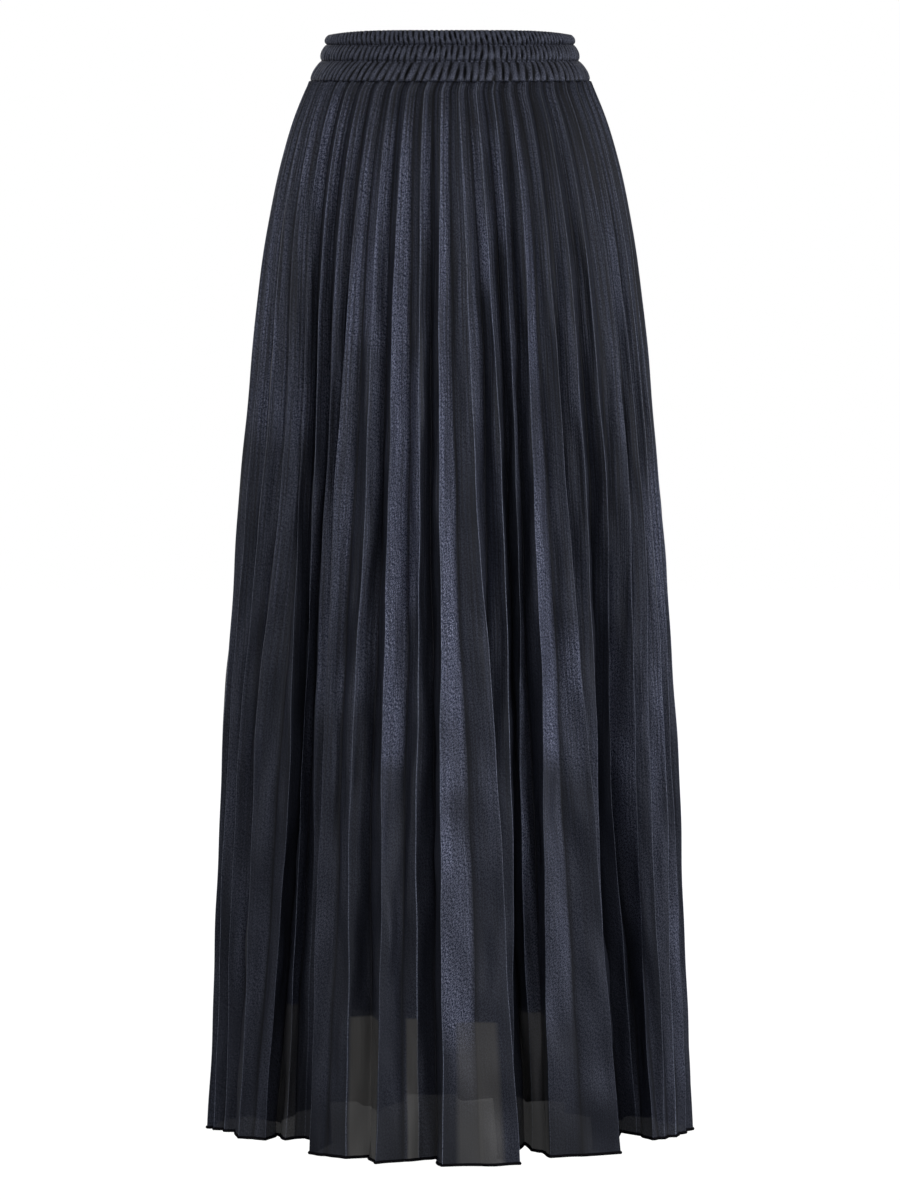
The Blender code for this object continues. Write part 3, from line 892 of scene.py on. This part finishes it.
def band_channel(channel):
    """Rows of plan points, heights and pucker heights down one puffed channel."""
    top, bottom, top_half, bottom_half, puff, count, tall, left_lean, right_lean = channel
    spread, size, slip = (waves_round(rows) for rows in (PUCKER_SPREAD, PUCKER_SIZES, PUCKER_SIZES))
    lean = left_lean + (right_lean - left_lean) * (0.5 + 0.5 * np.sin(band_angles))
    for step in np.linspace(0, 1, CHANNEL_ROWS):
        height = top + (bottom - top) * step
        half_width = top_half + (bottom_half - top_half) * step
        crown = math.sin(math.pi * step) ** CHANNEL_CROWN
        turn = 2 * math.pi * (spread + lean * step + PUCKER_SLIP * slip * (step - 0.5))
        ridge = np.abs(np.cos((count * band_angles + turn) / 2)) ** PUCKER_POWER
        slit_turn = SLITS["stray"] * slip + 2 * math.pi * SLITS["slant"] * step
        slit = 0.5 + 0.5 * np.sin(SLITS["count"] * band_angles + slit_turn)
        ridge = 1 - (1 - ridge) * (SLITS["least"] + (1 - SLITS["least"]) * slit)
        reach = tall * (1 + size) * (PUCKER_AT_SEAM + (1 - PUCKER_AT_SEAM) * crown)
        rise = crown * puff + reach * (ridge - PUCKER_SUNK)
        across = (half_width + rise) * np.sin(band_angles)
        out = (half_width * BAND_DEPTH_RATIO + rise) * np.cos(band_angles)
        level = height + BAND_SCALLOP * (ridge - 0.5) * (1 - crown)
        yield np.column_stack([across, out]), level - corner_drop(height), ridge


def band_inside():
    """Rows up the plain inside of the band, as band_channel gives them."""
    for step in np.linspace(1, 0, BAND_INNER["rows"]):
        half_width = BAND_INNER["top"] * (1 - step) + BAND_INNER["bottom"] * step
        pucker = BAND_INNER_PUCKER["height"] * np.sin(BAND_INNER_PUCKER["count"] * band_angles)
        pucker = pucker * math.sin(math.pi * step)
        across = (half_width - pucker) * np.sin(band_angles)
        out = (half_width * BAND_DEPTH_RATIO - pucker) * np.cos(band_angles)
        height = BAND_HALF_HEIGHT * (1 - 2 * step)
        ridge = np.full(BAND_COLUMNS, BAND_INNER_PUCKER["ridge"])
        yield np.column_stack([across, out]), height - corner_drop(height), ridge


BAND_DARK = (0.046, 0.052, 0.082, 1.0)
BAND_BRIGHT = (0.150, 0.165, 0.236, 1.0)
BAND_SLIT_SHADE = (0.010, 0.011, 0.015, 1.0)  # painted shade, deep in the slits between puckers
BAND_GRAIN = {"round": 0.9, "row": 0.0013}  # metres of grain round the band, and from row to row


def band_satin():
    """The same satin doubled over, so it shows nothing behind it, with painted shade in the slits between
    puckers and on its plain inside.
    """
    material, tree, shader = new_material("band_satin")
    place = put(tree, "UVMap", {}, uv_map="cloth").outputs[0]
    grain = put(tree, "Group", {"Place": place, **SATIN_GRAIN}, node_tree=GLINT_GRAIN).outputs
    foil = mixed(tree, grain["Streaks"], BAND_DARK, BAND_BRIGHT)
    # painted shade: the slit colour where the puckers' ridge values are low
    lit = mapped(tree, carried(tree, "ridge"), given=(0.50, 0.98))
    relief = {"Strength": 0.4, "Distance": 0.0003, "Height": grain["Height"]}
    fill(tree, shader, {
        "Base Color": mixed(tree, lit, BAND_SLIT_SHADE, foil),
        "Metallic": 0.6,
        "Roughness": 0.42,
        "Normal": put(tree, "Bump", relief).outputs[0],
    })
    return material


band_rows = []
for channel in BAND_CHANNELS:
    rows = list(band_channel(channel))
    band_rows += rows if not band_rows else rows[1:]
band_rows += band_inside()
points = np.vstack([in_place(row, z) for row, z, _ in band_rows])
faces = sheet_faces(len(band_rows), BAND_COLUMNS, ring=True)
last = (len(band_rows) - 1) * BAND_COLUMNS
for c in range(BAND_COLUMNS):
    following = (c + 1) % BAND_COLUMNS
    faces.append((last + c, c, following, last + following))
waistband = add_piece("waistband_casing", points, faces, band_satin())
# the ridge values also set the painted shade in the slits
carry(waistband, {"ridge": np.concatenate([ridge for _, _, ridge in band_rows])})
corner_row, corner_column = np.divmod(np.array(faces), BAND_COLUMNS)
wrapped = (corner_column == 0) & (corner_column.max(axis=1) == BAND_COLUMNS - 1)[:, None]
across = (corner_column + wrapped * BAND_COLUMNS) * (BAND_GRAIN["round"] / BAND_COLUMNS)
down = -corner_row * BAND_GRAIN["row"]
layer = waistband.data.uv_layers.new(name="cloth")
layer.uv.foreach_set("vector", np.stack([across, down], axis=2).astype(np.float32).ravel())

STITCH = {"pitch": 2.9, "length": 2.3, "radius": 0.27, "tip": 0.3, "proud": 0.30, "sunk": 0.6, "sides": 6}
STITCH_STEPS = np.array((0.0, 0.2, 0.5, 0.8, 1.0))


def stitch_row(name, row, heights):
    """A row of short thread stitches that lies along a channel's seam, as one piece."""
    path = in_place(np.vstack([row, row[:1]]), np.append(heights, heights[0])) / MM
    along = np.concatenate([[0], np.cumsum(np.linalg.norm(np.diff(path, axis=0), axis=1))])
    count = int(along[-1] / STITCH["pitch"])
    arch = np.sin(math.pi * STITCH_STEPS)
    wanted = np.arange(count)[:, None] * along[-1] / count + STITCH_STEPS * STITCH["length"]
    middle = np.stack([np.interp(wanted, along, path[:, axis]) for axis in range(3)], axis=2)
    outward = middle * (1, 1, 0) / np.linalg.norm(middle[..., :2], axis=2)[..., None]
    middle += outward * (STITCH["proud"] * (2 * arch - STITCH["sunk"]))[None, :, None]
    radius = STITCH["radius"] * (STITCH["tip"] + (1 - STITCH["tip"]) * arch)
    turns = 2 * math.pi * np.arange(STITCH["sides"]) / STITCH["sides"]
    spokes = outward[:, :, None] * np.cos(turns)[:, None] + np.array([0, 0, 1.0]) * np.sin(turns)[:, None]
    points = (middle[:, :, None] + spokes * radius[None, :, None, None]).reshape(-1, 3) * MM
    one = tube_faces(len(STITCH_STEPS), STITCH["sides"])
    size = len(STITCH_STEPS) * STITCH["sides"]
    faces = [tuple(k + s * size for k in face) for s in range(count) for face in one]
    piece = add_piece(name, points, faces, HEM_THREAD)
    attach(piece, "root")
    return piece


stitches = [
    stitch_row("upper_stitches", *band_rows[CHANNEL_ROWS - 1][:2]),
    stitch_row("lower_stitches", *band_rows[2 * CHANNEL_ROWS - 2][:2]),
]
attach(waistband, "root")
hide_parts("waistband")

# STUDIO
# A plain pale floor below the hem and a white surround. Large soft lights stand at the right, the left, in
# front and behind, and the camera is in front, a little above the middle of the skirt. Places and sizes here
# are in metres, and the camera's lens and sensor in millimetres.
FLOOR_GAP = 0.060  # from the hem down to the floor
FLOOR_Z = HEM_Z * MM - FLOOR_GAP
FLOOR_REACH = 9.0
FLOOR_GLOW = 0.985  # how white the floor looks to the camera
FLOOR_GREY = (0.12, 0.12, 0.12, 1.0)  # what it sheds on the cloth
SURROUND = (0.32, 0.316, 0.306, 1.0)  # what the surround sheds on the cloth
WHITE = (1.0, 1.0, 1.0, 1.0)
SKIRT_MIDDLE = Vector((0.0, 0.0, -0.45))
CAMERA_PLACE = (0.0, -4.0, -0.229)
CAMERA_PITCH = math.radians(3.55)
CAMERA_LENS = 136.4
CAMERA_SENSOR = 36.0
SOFT_LIGHTS = (
    # name, place, width and height, power in watts
    ("key_light", (2.9, -1.6, -0.15), (3.4, 1.7), 32.0),
    ("left_light", (-2.8, -1.6, 0.0), (1.6, 2.0), 12.0),
    ("front_light", (0.3, -4.4, 0.2), (1.2, 1.0), 19.0),
    ("back_light", (-0.6, 3.6, 0.3), (4.4, 2.6), 32.0),
)
camera_data = bpy.data.cameras.new("camera")
camera_data.lens = CAMERA_LENS
camera_data.sensor_width = CAMERA_SENSOR
camera = bpy.data.objects.new("camera", camera_data)
bpy.context.scene.collection.objects.link(camera)
camera.location = CAMERA_PLACE
camera.rotation_euler = (math.pi / 2 - CAMERA_PITCH, 0.0, 0.0)
bpy.context.scene.camera = camera

for name, place, size, power in SOFT_LIGHTS:
    data = bpy.data.lights.new(name, "AREA")
    data.shape = "RECTANGLE"
    data.size, data.size_y = size
    data.energy = power
    lamp = bpy.data.objects.new(name, data)
    bpy.context.scene.collection.objects.link(lamp)
    lamp.location = place
    lamp.rotation_euler = (lamp.location - SKIRT_MIDDLE).to_track_quat("Z", "Y").to_euler()
    lamp.visible_camera = False

world = bpy.data.worlds.new("studio")
bpy.context.scene.world = world
world.use_nodes = True
tree = world.node_tree
seen = put(tree, "LightPath", {}).outputs["Is Camera Ray"]
fill(tree, tree.nodes["Background"], {"Color": mixed(tree, seen, SURROUND, WHITE)})

pale_floor, tree, shader = new_material("pale_floor")
seen = put(tree, "LightPath", {}).outputs["Is Camera Ray"]
fill(tree, shader, {
    "Base Color": FLOOR_GREY,
    "Roughness": 0.9,
    "Emission Color": WHITE,
    "Emission Strength": worked_out(tree, "MULTIPLY", seen, FLOOR_GLOW),
})
near, far = -FLOOR_REACH, FLOOR_REACH
corners = [(near, near, FLOOR_Z), (far, near, FLOOR_Z), (far, far, FLOOR_Z), (near, far, FLOOR_Z)]
floor = add_piece("floor", corners, [(0, 1, 2, 3)], pale_floor)

bpy.context.scene.view_settings.view_transform = "Standard"
bpy.context.scene.view_settings.look = "None"
